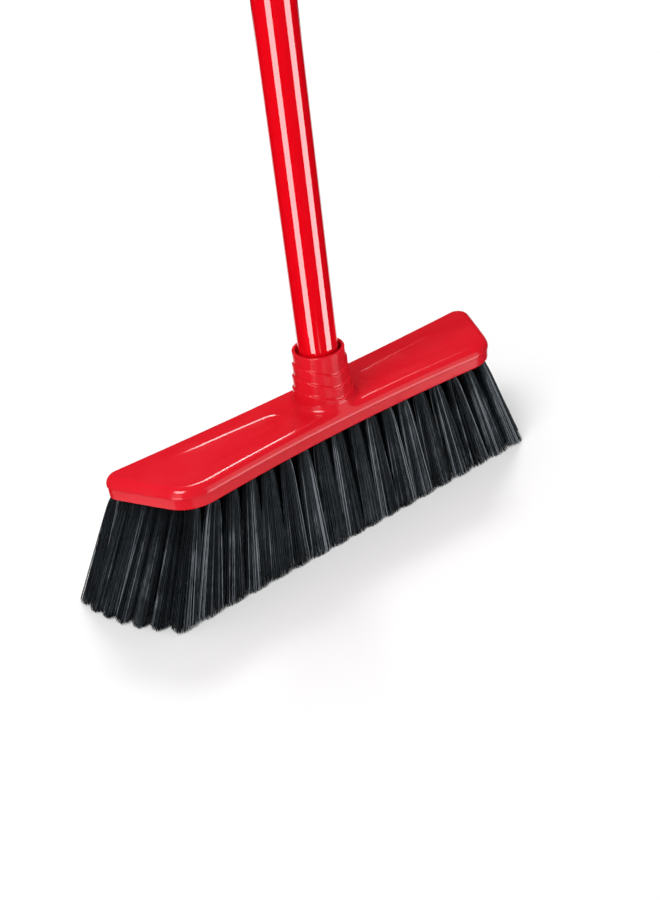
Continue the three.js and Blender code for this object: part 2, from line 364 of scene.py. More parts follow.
def block_top(shell):
    loops = []
    for turn in arc(9, EDGE_TURN, 90):
        loops.append(OUTLINE + INWARD * TOP_FILLET * (1 - math.cos(turn)))
    loops.append(OUTLINE + INWARD * (TOP_FILLET + 0.4))
    for turn in arc(10, 90, 0):
        radius = SOCKET_FOOT_RADIUS + FOOT_FILLET * (1 - math.sin(turn))
        loops.append(circle(radius, SOCKET_SIDES))
    loops.append(circle(FOOT_EDGE + 0.5, SOCKET_SIDES))
    xs = np.arange(-BACK_LENGTH / 2, BACK_LENGTH / 2, GRID_STEP)
    ys = np.arange(-BLOCK_WIDTH / 2, BLOCK_WIDTH / 2, GRID_STEP)
    grid = np.array(
        [(x + (0.5 * GRID_STEP if j % 2 else 0), y) for j, y in enumerate(ys) for x in xs]
    )
    outer = loops[0]

    def clear(points):
        inner = edge_distance(points) > TOP_FILLET + CLEARANCE
        return inner & (np.hypot(points[:, 0], points[:, 1]) > FOOT_EDGE + CLEARANCE)

    keep = clear(grid) & inside_polygon(grid, outer)
    # finer points where the panels' edges turn
    dense = GRID_STEP / 3
    xs = np.arange(24, 108, dense)
    ys = np.arange(-20, 16, dense)
    fine = np.array([(x, y) for x in xs for y in ys])
    sink = panel_sink(fine[:, 0], fine[:, 1])
    probes = ((PANEL_PROBE, 0), (-PANEL_PROBE, 0), (0, PANEL_PROBE), (0, -PANEL_PROBE))
    around = np.stack([panel_sink(fine[:, 0] + dx, fine[:, 1] + dy) for dx, dy in probes])
    turning = (np.abs(around - sink).max(0) > PANEL_TURN) & clear(fine)
    fine = fine[turning]
    loose = np.vstack([grid[keep], fine, fine * (-1, 1)])
    points, faces = triangulate(loops, loose)
    centre = np.array([points[f].mean(0) for f in faces])
    outside = ~inside_polygon(centre, outer)
    hollow = np.hypot(centre[:, 0], centre[:, 1]) < SOCKET_FOOT_RADIUS * 0.999
    faces = [f for f, a, b in zip(faces, outside, hollow) if not (a or b)]
    shell.triangles(np.column_stack([points, top_height(points)]), faces)


def inside_polygon(points, polygon):
    x, y = points.T
    inside = np.zeros(len(points), bool)
    for (ax, ay), (bx, by) in zip(polygon, np.roll(polygon, -1, 0)):
        crosses = (ay > y) != (by > y)
        with np.errstate(divide="ignore", invalid="ignore"):
            at = (bx - ax) * (y - ay) / (by - ay) + ax
        inside ^= crosses & (x < at)
    return inside


# ---- Tufts' places ----


def lerp(a, b, t):
    return a + (b - a) * t


def front_row_y(x):
    edge = -BLOCK_WIDTH / 2 + FRONT_WAIST * (1 - (x / MIDDLE_HALF_LENGTH) ** 2)
    return edge + EDGE_TO_ROW + CORNER_LIFT * (x / FRONT_ROW_HALF) ** CORNER_LIFT_POWER


def back_row_y(x):
    edge = BLOCK_WIDTH / 2 - BACK_WAIST * (1 - (x / (BACK_LENGTH / 2)) ** 2)
    return edge - EDGE_TO_ROW


def make_tufts():
    tufts = []
    for row in range(TUFT_ROWS):
        back = row / (TUFT_ROWS - 1)
        half = lerp(FRONT_ROW_HALF, BACK_ROW_HALF, back)
        tip_half = BACK_TIPS_HALF - (BACK_TIPS_HALF - FRONT_TIPS_HALF) * (1 - back) ** 2
        count = FRONT_ROW_TUFTS + row
        line = []
        for k in range(count):
            along = 2 * k / (count - 1) - 1
            x = along * half
            flare = math.copysign((tip_half - half) * abs(along) ** FLARE_POWER, along)
            y = lerp(front_row_y(x * (FRONT_ROW_HALF / half)), back_row_y(x), back)
            line.append(
                {
                    "row": row,
                    "k": k,
                    "last": count - 1,
                    "outer": row in (0, TUFT_ROWS - 1) or k in (0, count - 1),
                    "root": np.array([x, y]),
                    "tip": np.array([x + flare, lerp(FRONT_TIPS_Y, BACK_TIPS_Y, back)]),
                }
            )
        for k, tuft in enumerate(line):
            left = (tuft["tip"][0] - line[k - 1]["tip"][0]) / 2 if k else TIP_REACH
            right = (line[k + 1]["tip"][0] - tuft["tip"][0]) / 2 if k < count - 1 else TIP_REACH
            tuft["spread_x"] = (left, right)
        tufts.extend(line)
    return tufts


TUFTS = make_tufts()

# ---- Head ----

HOLE_RADIUS = TUFT_RADIUS + 0.35
HOLE_SIDES = 16
HOLE_CHAMFER = 0.25
HOLE_MOUTH = HOLE_RADIUS + HOLE_CHAMFER


def block_side(shell):
    wall = 0.45
    round_under = 0.6
    profile = [(wall + round_under + 0.5, 0), (wall + round_under, 0)]
    for turn in arc(4)[1:]:
        inset = wall + round_under * (1 - math.sin(turn))
        profile.append((inset, round_under * (1 - math.cos(turn))))
    lip = BLOCK_HEIGHT - TOP_FILLET - 0.5
    profile += [(wall, 1.2), (wall, 3), (wall, 4.8), (wall, lip - 0.2), (wall, lip)]
    for turn in arc(4)[1:]:
        profile.append((wall * (1 - math.sin(turn)), lip + 0.35 * (1 - math.cos(turn))))
    profile.append((0, BLOCK_HEIGHT - TOP_FILLET))
    for turn in arc(8, 0, EDGE_TURN)[1:]:
        profile.append(
            (TOP_FILLET * (1 - math.cos(turn)), BLOCK_HEIGHT - TOP_FILLET * (1 - math.sin(turn)))
        )
    rings = []
    for inset, z in profile[:-1]:
        rings.append(edge_ring(inset, BLOCK_BOTTOM + z))
    edge = OUTLINE + INWARD * profile[-1][0]
    rings.append(np.column_stack([edge, top_height(edge)]))
    shell.rings(rings)
    return rings[0]


def block_underside(shell, edge):
    loops = [edge[:, :2]]
    for tuft in TUFTS:
        loops.append(tuft["root"] + circle(HOLE_MOUTH, HOLE_SIDES))
    points, faces = triangulate(loops, [])
    centre = np.array([points[f].mean(0) for f in faces])
    keep = inside_polygon(centre, edge[:, :2])
    for tuft in TUFTS:
        keep &= np.hypot(*(centre - tuft["root"]).T) > HOLE_MOUTH * 0.97
    faces = [f for f, k in zip(faces, keep) if k]
    level = np.full(len(points), float(BLOCK_BOTTOM))
    shell.triangles(np.column_stack([points, level]), faces, flip=True)
    hole_profile = (
        (HOLE_MOUTH, 0),
        (HOLE_RADIUS, HOLE_CHAMFER),
        (HOLE_RADIUS, 4.5),
        (HOLE_RADIUS, HOLE_DEPTH),
    )
    for tuft in TUFTS:
        lean = (tuft["root"] - tuft["tip"]) / BLOCK_BOTTOM
        rings = []
        for radius, up in hole_profile:
            ring = tuft["root"] + lean * up + circle(radius, HOLE_SIDES)
            rings.append(np.column_stack([ring, np.full(HOLE_SIDES, BLOCK_BOTTOM + up)]))
        shell.rings(rings, flip=True)
        shell.fan(rings[-1], flip=True)


LEDGE_STEP = 0.95  # how far each shingled band of the socket stands out
LEDGES = (5.0, 12.2, 19.3)  # their heights above the block at the front and back
LEDGE_RISE = 6.6  # how much higher they are at the sides
# each ledge from below to above: height from its middle, and how much of its step is left
LEDGE_PROFILE = (
    (-0.42, 1.0),
    (-0.26, 0.99),
    (-0.13, 0.93),
    (-0.04, 0.8),
    (0.02, 0.6),
    (0.07, 0.36),
    (0.12, 0.15),
    (0.2, 0.04),
    (0.34, 0),
)


def socket(shell):
    turn = 2 * math.pi * np.arange(SOCKET_SIDES) / SOCKET_SIDES
    cos, sin = np.cos(turn), np.sin(turn)
    foot = top_height(circle(SOCKET_FOOT_RADIUS, SOCKET_SIDES))
    rise = LEDGE_RISE * (np.sqrt(cos**2 + 0.02) - math.sqrt(0.02))
    curves = [BLOCK_TOP + z + rise for z in LEDGES]
    draft = SOCKET_FOOT_RADIUS - RIM_RADIUS - LEDGE_STEP * len(LEDGES)
    ledge_low, ledge_high = LEDGE_PROFILE[0][0], LEDGE_PROFILE[-1][0]
    rows = []

    def add(z, bands):
        radius = RIM_RADIUS + LEDGE_STEP * bands + draft * (RIM - z) / (RIM - foot)
        rows.append(np.stack([radius * cos, radius * sin, z], 1))

    edge = 0.5
    levels = [foot] + curves + [np.full(SOCKET_SIDES, RIM - edge)]
    for i in range(len(levels) - 1):
        below = levels[i] + (ledge_high if i else 0)
        above = levels[i + 1] + (ledge_low if i < len(LEDGES) else 0)
        count = 7 if i < len(LEDGES) else 12
        for k in range(count + 1):
            if i and k == 0:
                continue
            if i < len(LEDGES) and k == count:
                continue
            add(lerp(below, above, k / count), len(LEDGES) - i)
        if i < len(LEDGES):
            for dz, share in LEDGE_PROFILE:
                add(curves[i] + dz, len(LEDGES) - i - 1 + share)
    shell.rings(rows)
    profile = []
    for a in arc(5):
        profile.append((RIM_RADIUS - edge * (1 - math.cos(a)), RIM - edge * (1 - math.sin(a))))
    soft = 0.35
    for a in arc(4):
        radius = MOUTH_RADIUS + soft * (1 - math.sin(a))
        profile.append((radius, RIM - soft * (1 - math.cos(a))))
    profile += [(MOUTH_RADIUS, RIM - 1), (MOUTH_RADIUS, RIM - 4), (MOUTH_RADIUS, LEDGE + 0.6)]
    for a in arc(3)[1:]:
        profile.append((MOUTH_RADIUS - 0.6 * (1 - math.cos(a)), LEDGE + 0.6 * (1 - math.sin(a))))
    profile += [(THREAD_BORE_RADIUS + 0.5, LEDGE), (THREAD_BORE_RADIUS + 0.25, LEDGE - 0.1)]
    rings = turned_rings(profile, SOCKET_SIDES)
    bottom = BLOCK_TOP + BORE_FLOOR
    for z in np.arange(LEDGE - 0.4, bottom + 0.4, -0.4):
        radius = THREAD_BORE_RADIUS + 0.3 * thread_ridge(turn, z) * smooth((LEDGE - z) / 2)
        rings.append(np.stack([radius * cos, radius * sin, np.full(SOCKET_SIDES, z)], 1))
    rings += turned_rings([(THREAD_BORE_RADIUS, bottom), (0.4, bottom)], SOCKET_SIDES)
    shell.rings(rings)
    shell.fan(rings[-1])


def thread_ridge(turn, z):
    """From 0 at the thread's root to 1 at its crest: one right-hand start."""
    phase = (z - THREAD_PITCH * turn / (2 * math.pi)) / THREAD_PITCH
    away = np.abs(phase - np.round(phase)) * THREAD_PITCH
    return 1 - smooth((away - 0.5) / 1.0)


def head_mesh():
    shell = Shell()
    edge = block_side(shell)
    block_underside(shell, edge)
    block_top(shell)
    socket(shell)
    return mesh_from("head_moulding", shell.points, shell.faces)


# ---- Bristles ----

GOLDEN = math.pi * (3 - math.sqrt(5))
BURST = 0.32  # how much of its spread a tuft reaches straight below its hole
IN_HOLE = 3.5  # how far the filaments reach into it
OUTER_FILAMENTS = {"count": 130, "segments": 26, "thickness": 0.48, "sides": 4}
INNER_FILAMENTS = {"count": 60, "segments": 10, "thickness": 0.5, "sides": 3}


def filaments(tuft, count, segments, sides, thickness):
    """Points of one tuft's crimped filaments: (filament, level, side, xyz), in millimetres."""
    i = np.arange(count)
    turn = i * GOLDEN
    reach = ((i + 0.5) / count) ** 0.43
    stray = RNG.normal(0, 0.03, (2, count)) * (reach < 0.92)
    ux = reach * np.cos(turn) + stray[0]
    uy = reach * np.sin(turn) + stray[1]
    left, right = tuft["spread_x"]
    row_step = (BACK_TIPS_Y - FRONT_TIPS_Y) / (TUFT_ROWS - 1) / 2
    front = TIP_REACH if tuft["row"] == 0 else row_step
    back = TIP_REACH if tuft["row"] == TUFT_ROWS - 1 else row_step
    # the disc of filaments opens towards a rounded rectangle, so that neighbours meet
    square = 1 + 0.2 * np.sin(2 * turn) ** 2 * reach**2
    spread = RNG.uniform(0.95, 1.03, 2)
    tip_x = ux * square * np.where(ux < 0, left, right) * spread[0]
    tip_y = uy * square * np.where(uy < 0, front, back) * spread[1]
    # seen from outside, each tuft's tips make a shallow scallop
    last_row = TUFT_ROWS - 1
    out = np.array(
        [
            (tuft["k"] == tuft["last"]) - (tuft["k"] == 0),
            (tuft["row"] == last_row) - (tuft["row"] == 0),
        ]
    )
    out = out / max(1, np.hypot(*out))
    outward = ux * out[0] + uy * out[1]
    across = np.abs(uy * out[0] - ux * out[1]) if tuft["outer"] else reach
    tip_z = 0.05 + RNG.uniform(0, 0.6) + 0.8 * np.clip(across, 0, 1.05) ** 3 + 0.2 * outward**2
    tip_z = tip_z + np.abs(RNG.normal(0, 0.06, count))
    if tuft["row"] == 0 and tuft["k"] in (0, tuft["last"]):
        tip_z += 0.5
    level = np.linspace(-IN_HOLE / BLOCK_BOTTOM, 1, segments + 1)[None, :]
    z = BLOCK_BOTTOM - level * (BLOCK_BOTTOM - tip_z[:, None])
    lean = tuft["tip"] - tuft["root"]
    # filaments burst from the hole, then run nearly straight
    below = np.clip(level, 0, 1)
    opening = BURST * (1 - np.exp(-below / 0.05)) + (1 - BURST) * below
    root_x, root_y = tuft["root"]
    x = root_x + lean[0] * level + lerp(ux[:, None] * TUFT_RADIUS, tip_x[:, None], opening)
    y = root_y + lean[1] * level + lerp(uy[:, None] * TUFT_RADIUS, tip_y[:, None], opening)
    wave = RNG.uniform(6.6, 7.6, (count, 1))
    phase = RNG.uniform(0, 2 * math.pi, (count, 1))
    side = RNG.uniform(0, math.pi, (count, 1))
    crimp = RNG.uniform(0.03, 0.07, (count, 1)) * smooth(level * 7)
    crimp = crimp * np.sin(2 * math.pi * z / wave + phase)
    bow = RNG.normal(0, 0.07, (count, 2))
    arch = np.sin(math.pi * below)
    x = x + crimp * np.cos(side) + bow[:, :1] * arch
    y = y + crimp * np.sin(side) + bow[:, 1:] * arch
    radius = thickness / 2 * RNG.uniform(0.88, 1.12, (count, 1, 1))
    ring = 2 * math.pi * np.arange(sides)[None, None, :] / sides + turn[:, None, None]
    return np.stack(
        [
            x[:, :, None] + radius * np.cos(ring),
            y[:, :, None] + radius * np.sin(ring),
            np.broadcast_to(z[:, :, None], x.shape + (sides,)),
        ],
        3,
    )


def bristle_mesh(name, tufts, count, segments, thickness, sides):
    parts = [filaments(t, count, segments, sides, thickness) for t in tufts]
    points = np.concatenate(parts)
    total = len(points)
    per = (segments + 1) * sides
    base = (np.arange(total) * per)[:, None, None]
    low = np.arange(segments)[None, :, None] * sides
    s = np.arange(sides)[None, None, :]
    nxt = (s + 1) % sides
    quads = np.stack(
        [base + low + s, base + low + sides + s, base + low + sides + nxt, base + low + nxt], 3
    ).reshape(-1, 4)
    tips = (np.arange(total) * per + segments * sides)[:, None] + np.arange(sides)[None, ::-1]
    loops = np.concatenate([quads.ravel(), tips.ravel()]).astype(np.int32)
    starts = np.concatenate(
        [np.arange(len(quads)) * 4, len(quads) * 4 + np.arange(total) * sides]
    ).astype(np.int32)
    mesh = bpy.data.meshes.new(name)
    mesh.vertices.add(total * per)
    mesh.vertices.foreach_set("co", (points.reshape(-1) * MM).astype(np.float32))
    mesh.loops.add(len(loops))
    mesh.loops.foreach_set("vertex_index", loops)
    mesh.polygons.add(len(starts))
    mesh.polygons.foreach_set("loop_start", starts)
    mesh.update(calc_edges=True)
    # each filament has its own tone, which its neighbours in the tuft partly share
    turn = np.tile(np.arange(count) * GOLDEN, len(tufts))
    first, second = (
        np.repeat(RNG.uniform(0, 2 * math.pi, len(tufts)), count) for _ in range(2)
    )
    shared = 0.14 * np.sin(3 * turn + first) + 0.16 * np.sin(turn + second)
    own = np.clip(RNG.uniform(0, 1, total) * 0.75 + 0.125 + shared, 0, 1)
    tone = mesh.attributes.new("tone", "FLOAT", "POINT")
    tone.data.foreach_set("value", np.repeat(own, per).astype(np.float32))
    mesh.validate()
    mesh.shade_smooth()
    return mesh


# ---- Handle pieces ----


TURNED_SIDES = 128
SLEEVE_SEGMENTS = 24
END_RINGS = (0.3, 0.6, 1.2)  # close to a sleeve's ends, so that its walls shade straight up to them


def sleeve_mesh(name, inside, outside, bottom, top, soft):
    profile = []
    for a in arc(3):
        profile.append((outside - soft * (1 - math.sin(a)), bottom + soft * (1 - math.cos(a))))
    for up in END_RINGS:
        profile.append((outside, bottom + up))
    for k in range(1, SLEEVE_SEGMENTS):
        profile.append((outside, lerp(bottom, top, k / SLEEVE_SEGMENTS)))
    for down in END_RINGS[::-1]:
        profile.append((outside, top - down))
    for a in arc(3):
        profile.append((outside - soft * (1 - math.cos(a)), top - soft * (1 - math.sin(a))))
    profile += [(inside, top), (inside, bottom)]
    profile.append(profile[0])
    shell = Shell()
    shell.rings(turned_rings(profile, TURNED_SIDES))
    return mesh_from(name, shell.points, shell.faces)


def insert_mesh():
    count = 144
    turn = 2 * math.pi * np.arange(count) / count
    bottom = BLOCK_TOP + BORE_FLOOR + GAP
    shoulder = LEDGE + GAP
    top = shoulder + SHOULDER_HEIGHT
    end = top + SPIGOT_LENGTH
    rings = turned_rings(
        [(INSERT_HOLLOW_RADIUS, bottom), (THREAD_CORE_RADIUS - 0.6, bottom)], count
    )
    for z in np.arange(bottom + 0.3, shoulder - 0.3, 0.35):
        ends = smooth((z - bottom) / 2.5) * smooth((shoulder - z) / 2)
        ridge = (THREAD_CREST_RADIUS - THREAD_CORE_RADIUS) * thread_ridge(turn, z)
        radius = THREAD_CORE_RADIUS + ridge * ends
        radius = radius - 0.5 * (1 - smooth((z - bottom) / 0.8))
        rings.append(
            np.stack([radius * np.cos(turn), radius * np.sin(turn), np.full(count, z)], 1)
        )
    edge = 0.25
    spigot = TUBE_BORE - GAP
    profile = [(THREAD_CORE_RADIUS, shoulder)]
    for a in arc(3):
        radius = TUBE_RADIUS - edge * (1 - math.sin(a))
        profile.append((radius, shoulder + edge * (1 - math.cos(a))))
    for a in arc(3):
        radius = TUBE_RADIUS - edge * (1 - math.cos(a))
        profile.append((radius, top - edge * (1 - math.sin(a))))
    profile.append((spigot, top))
    rings += turned_rings(profile, count)
    # the spigot is ribbed to grip the tube
    ribs = 0.3 * (0.5 + 0.5 * np.cos(24 * turn)) ** 3
    ribbed = [(z, 0.3) for z in (top + 2, top + 10, end - 3, end - 1.2)]
    for z, down in [(top + 0.2, 0), *ribbed, (end, 1.2)]:
        radius = spigot - down + (ribs if down == 0.3 else np.zeros(count))
        rings.append(
            np.stack([radius * np.cos(turn), radius * np.sin(turn), np.full(count, z)], 1)
        )
    rings += turned_rings([(INSERT_HOLLOW_RADIUS, end), (INSERT_HOLLOW_RADIUS, bottom)], count)
    shell = Shell()
    shell.rings(rings)
    return mesh_from("screw_insert", shell.points, shell.faces)


def cap_body():
    skirt = HANDLE_RADIUS + GAP + CAP_WALL
    lid = TUBE_TOP + GAP
    low = TUBE_TOP - SKIRT_LENGTH
    plug = TUBE_BORE - GAP
    socket_wall = HANDLE_RADIUS + GAP
    profile = [(0.5, low), (plug - 1, low), (plug, low + 1), (plug, lid), (socket_wall, lid)]
    profile += [(socket_wall, low + 0.3), (socket_wall + 0.3, low), (skirt - 0.5, low)]
    for a in arc(4):
        profile.append((skirt - 0.5 * (1 - math.sin(a)), low + 0.5 * (1 - math.cos(a))))
    # three shallow grip grooves round the skirt
    for k in range(3):
        z = low + 4 + 3 * k
        for dz, deep in ((-0.8, 0), (-0.5, 0.15), (0, 0.3), (0.5, 0.15), (0.8, 0)):
            profile.append((skirt - deep, z + dz))
    for a in arc(12, 0, 90):
        radius = skirt - CAP_FILLET * (1 - math.cos(a))
        profile.append((radius, lid + CAP_HEIGHT - CAP_FILLET * (1 - math.sin(a))))
    profile.append((0.5, lid + CAP_HEIGHT))
    rings = turned_rings(profile, TURNED_SIDES)
    shell = Shell()
    shell.rings(rings)
    shell.fan(rings[0], flip=True)
    shell.fan(rings[-1])
    return mesh_from("cap_body", shell.points, shell.faces)


def stadium(half_width, low, high, count, square_foot=False):
    """An upright outline in X and Z, anticlockwise seen from the front."""
    points = []
    top = high - half_width
    for k in range(count + 1):
        a = math.pi * k / count
        points.append((half_width * math.cos(a), top + half_width * math.sin(a)))
    if square_foot:
        points += [(-half_width, lerp(top, low, k / 6)) for k in range(1, 7)]
        points += [(half_width, lerp(low, top, k / 6)) for k in range(6)]
    else:
        bottom = low + half_width
        for k in range(count + 1):
            a = math.pi + math.pi * k / count
            points.append((half_width * math.cos(a), bottom + half_width * math.sin(a)))
    return np.array(points)


def cap_eye():
    foot = TUBE_TOP + GAP + CAP_HEIGHT - CAP_FILLET
    top = foot + EYE_HEIGHT
    hole_high = top - (EYE_WIDTH - EYE_HOLE_WIDTH) / 2
    hole_low = hole_high - EYE_HOLE_HEIGHT
    soft = 1.6
    half = EYE_THICKNESS / 2
    side = EYE_WIDTH / 2
    shell = Shell()

    def loops(turn_angles, sign):
        out = []
        for a in turn_angles:
            pull = soft * (1 - math.cos(a))
            y = sign * (half - soft * (1 - math.sin(a)))
            outer = stadium(side - pull, foot, top - pull, 28, True)
            inner = stadium(EYE_HOLE_WIDTH / 2 + pull, hole_low - pull, hole_high + pull, 20)
            out.append((outer, inner, y))
        return out

    front = loops(arc(6), -1)
    back = loops(arc(6), 1)
    stack = front[::-1] + back
    outer_rings = [np.column_stack([o[:, 0], np.full(len(o), y), o[:, 1]]) for o, _, y in stack]
    inner_rings = [np.column_stack([n[:, 0], np.full(len(n), y), n[:, 1]]) for _, n, y in stack]
    shell.rings(outer_rings)
    shell.rings(inner_rings, flip=True)
    for (outer, inner, y), flip in ((front[-1], False), (back[-1], True)):
        points, faces = triangulate([outer, inner], [])
        centre = np.array([points[f].mean(0) for f in faces])
        hole = inside_polygon(centre, inner)
        faces = [f for f, h in zip(faces, hole) if not h]
        flat = np.column_stack([points[:, 0], np.full(len(points), y), points[:, 1]])
        shell.triangles(flat, faces, flip=flip)
    return mesh_from("cap_eye", shell.points, shell.faces)


def joined(name, first, second):
    """The union of two closed meshes."""
    a = bpy.data.objects.new(name + "_a", first)
    b = bpy.data.objects.new(name + "_b", second)
    for o in (a, b):
        bpy.context.scene.collection.objects.link(o)
    union = a.modifiers.new("union", "BOOLEAN")
    union.operation = "UNION"
    union.solver = "EXACT"
    union.object = b
    bpy.context.view_layer.update()
    mesh = bpy.data.meshes.new_from_object(a.evaluated_get(bpy.context.evaluated_depsgraph_get()))
    mesh.name = name
    for o in (a, b):
        bpy.data.objects.remove(o)
    mesh.shade_smooth()
    mesh.set_sharp_from_angle(angle=CREASE)
    return mesh


# ---- Materials ----


NOISE_LOW, NOISE_HIGH = 0.3, 0.7


class Surface:
    """A material and short ways to add nodes to it."""

    def __init__(self, name, **constants):
        self.material = bpy.data.materials.new(name)
        self.material.use_nodes = True
        self.tree = self.material.node_tree
        self.shader = self.tree.nodes["Principled BSDF"]
        for socket, value in constants.items():
            self.shader.inputs[socket.replace("_", " ")].default_value = value
        self.place = self.node("ShaderNodeTexCoord").outputs["Object"]

    def node(self, kind, **properties):
        node = self.tree.nodes.new(kind)
        for key, value in properties.items():
            setattr(node, key, value)
        return node

    def put(self, socket, value):
        if isinstance(value, bpy.types.NodeSocket):
            self.tree.links.new(value, socket)
        else:
            socket.default_value = value

    def stretched(self, scale):
        mapping = self.node("ShaderNodeMapping")
        self.put(mapping.inputs["Vector"], self.place)
        mapping.inputs["Scale"].default_value = scale
        return mapping.outputs["Vector"]

    def noise(self, scale, detail=3.0, rough=0.5, vector=None, distortion=0.0):
        node = self.node("ShaderNodeTexNoise")
        self.put(node.inputs["Vector"], vector or self.place)
        node.inputs["Scale"].default_value = scale
        node.inputs["Detail"].default_value = detail
        node.inputs["Roughness"].default_value = rough
        node.inputs["Distortion"].default_value = distortion
        return node.outputs["Fac"]

    def spread(self, value, low, high, out_low, out_high):
        node = self.node("ShaderNodeMapRange")
        self.put(node.inputs["Value"], value)
        node.inputs["From Min"].default_value = low
        node.inputs["From Max"].default_value = high
        node.inputs["To Min"].default_value = out_low
        node.inputs["To Max"].default_value = out_high
        return node.outputs["Result"]

    def vary(self, noise, out_low, out_high):
        """Spreads the range that a noise mostly keeps to."""
        return self.spread(noise, NOISE_LOW, NOISE_HIGH, out_low, out_high)

    def math(self, operation, a, b):
        node = self.node("ShaderNodeMath", operation=operation)
        self.put(node.inputs[0], a)
        self.put(node.inputs[1], b)
        return node.outputs[0]

    def colours(self, value, stops):
        node = self.node("ShaderNodeValToRGB")
        ramp = node.color_ramp
        while len(ramp.elements) < len(stops):
            ramp.elements.new(0.5)
        for element, (position, colour) in zip(ramp.elements, stops):
            element.position = position
            element.color = (*colour, 1)
        self.put(node.inputs["Fac"], value)
        return node.outputs["Color"]

    def bump(self, height, strength, distance, normal=None):
        node = self.node("ShaderNodeBump")
        self.put(node.inputs["Height"], height)
        node.inputs["Strength"].default_value = strength
        node.inputs["Distance"].default_value = distance
        if normal:
            self.put(node.inputs["Normal"], normal)
        return node.outputs["Normal"]

    def finish(self, colour, roughness, normal):
        self.put(self.shader.inputs["Base Color"], colour)
        self.put(self.shader.inputs["Roughness"], roughness)
        self.put(self.shader.inputs["Normal"], normal)
        return self.material


def red_moulding():
    s = Surface("red_moulding", Specular_IOR_Level=0.5)
    flow = s.noise(14, 4, 0.55, s.stretched((0.5, 1.4, 1.4)), 0.6)
    speckle = s.noise(900, 2, 0.5)
    tone = s.math("ADD", flow, s.vary(speckle, -0.05, 0.05))
    colour = s.colours(
        tone,
        [
            (0.3, (0.66, 0.006, 0.015)),
            (0.5, (0.72, 0.009, 0.02)),
            (0.72, (0.76, 0.012, 0.026)),
        ],
    )
    roughness = s.vary(s.noise(70, 5, 0.6), 0.12, 0.19)
    grain = s.bump(s.noise(1500, 3, 0.6), 0.05, 0.0002)
    ripple = s.bump(s.noise(45, 2, 0.4), 0.08, 0.0006, grain)
    return s.finish(colour, roughness, ripple)


def red_coat():
    s = Surface(
        "red_coat",
        Specular_IOR_Level=0.5,
        Coat_Weight=1.0,
        Coat_Roughness=0.04,
        Coat_IOR=2.0,
    )
    drawn = s.noise(30, 3, 0.5, s.stretched((1, 1, 0.06)))
    colour = s.colours(drawn, [(0.3, (0.84, 0.0012, 0.007)), (0.7, (0.9, 0.002, 0.011))])
    roughness = s.vary(s.noise(120, 4, 0.6, s.stretched((1, 1, 0.15))), 0.05, 0.08)
    peel = s.bump(s.noise(420, 2, 0.5), 0.03, 0.0002)
    lines = s.bump(s.noise(700, 2, 0.5, s.stretched((1, 1, 0.02))), 0.03, 0.0001, peel)
    return s.finish(colour, roughness, lines)


def steel():
    s = Surface("steel", Metallic=1.0)
    streaks = s.noise(500, 4, 0.6, s.stretched((1, 1, 0.03)))
    colour = s.colours(streaks, [(0.3, (0.42, 0.43, 0.44)), (0.7, (0.6, 0.6, 0.59))])
    roughness = s.vary(streaks, 0.26, 0.42)
    return s.finish(colour, roughness, s.bump(streaks, 0.08, 0.0001))


def dark_moulding():
    s = Surface("dark_moulding", Specular_IOR_Level=0.5)
    tone = s.noise(60, 4, 0.6)
    colour = s.colours(tone, [(0.3, (0.010, 0.011, 0.013)), (0.7, (0.022, 0.023, 0.026))])
    roughness = s.vary(s.noise(200, 4, 0.6), 0.4, 0.55)
    return s.finish(colour, roughness, s.bump(s.noise(1800, 3, 0.6), 0.1, 0.0002))


def bristle():
    s = Surface("bristle", Specular_IOR_Level=0.5, Specular_Tint=(0.78, 0.9, 1, 1))
    # each filament's own tone, which bristle_mesh gives it
    own = s.node("ShaderNodeAttribute", attribute_name="tone").outputs["Fac"]
    length = s.noise(120, 3, 0.6, s.stretched((1, 1, 0.6)))
    tone = s.math("ADD", own, s.vary(length, -0.12, 0.12))
    # painted shade: the filaments' colour is darkened towards their roots, where the block and the
    # packed tufts shade them
    split = s.node("ShaderNodeSeparateXYZ")
    s.put(split.inputs["Vector"], s.place)
    tone = s.math("SUBTRACT", tone, s.spread(split.outputs["Z"], 0.04, 0.066, -0.04, 0.2))
    colour = s.colours(
        tone,
        [
            (0.15, (0.0008, 0.0011, 0.0016)),
            (0.5, (0.004, 0.0055, 0.0075)),
            (0.76, (0.036, 0.044, 0.052)),
            (0.93, (0.26, 0.285, 0.31)),
        ],
    )
    roughness = s.spread(tone, 0, 1, 0.34, 0.2)
    return s.finish(colour, roughness, s.bump(s.noise(2500, 2, 0.5), 0.1, 0.0001))


RED_MOULDING = red_moulding()
RED_COAT = red_coat()
STEEL = steel()
DARK_MOULDING = dark_moulding()
BRISTLE = bristle()

# ---- Pieces ----

link("block_and_socket", head_mesh(), RED_MOULDING, "head", ["head"])
link(
    "coat_sleeve",
    sleeve_mesh(
        "coat_sleeve", HANDLE_RADIUS - COAT_WALL, HANDLE_RADIUS, TUBE_BOTTOM, TUBE_TOP, 0.15
    ),
    RED_COAT,
    "handle",
    ["handle_coat"],
)
link(
    "steel_tube",
    sleeve_mesh("steel_tube", TUBE_BORE, TUBE_RADIUS, TUBE_BOTTOM, TUBE_TOP, 0.1),
    STEEL,
    "handle",
    ["handle_tube"],
)
link("screw_insert", insert_mesh(), DARK_MOULDING, "handle", ["thread_insert"])
END_CAP = joined("end_cap", cap_body(), cap_eye())
link("end_cap", END_CAP, RED_MOULDING, "handle", ["hanger_cap"])


def numbered(prefix, first, last):
    return [f"{prefix}_{n:02d}" for n in range(first, last + 1)]


TUFTS_PER_PIECE = 6  # along the long sides
INNER_SPLIT = 48  # inner tufts in the first of their two pieces


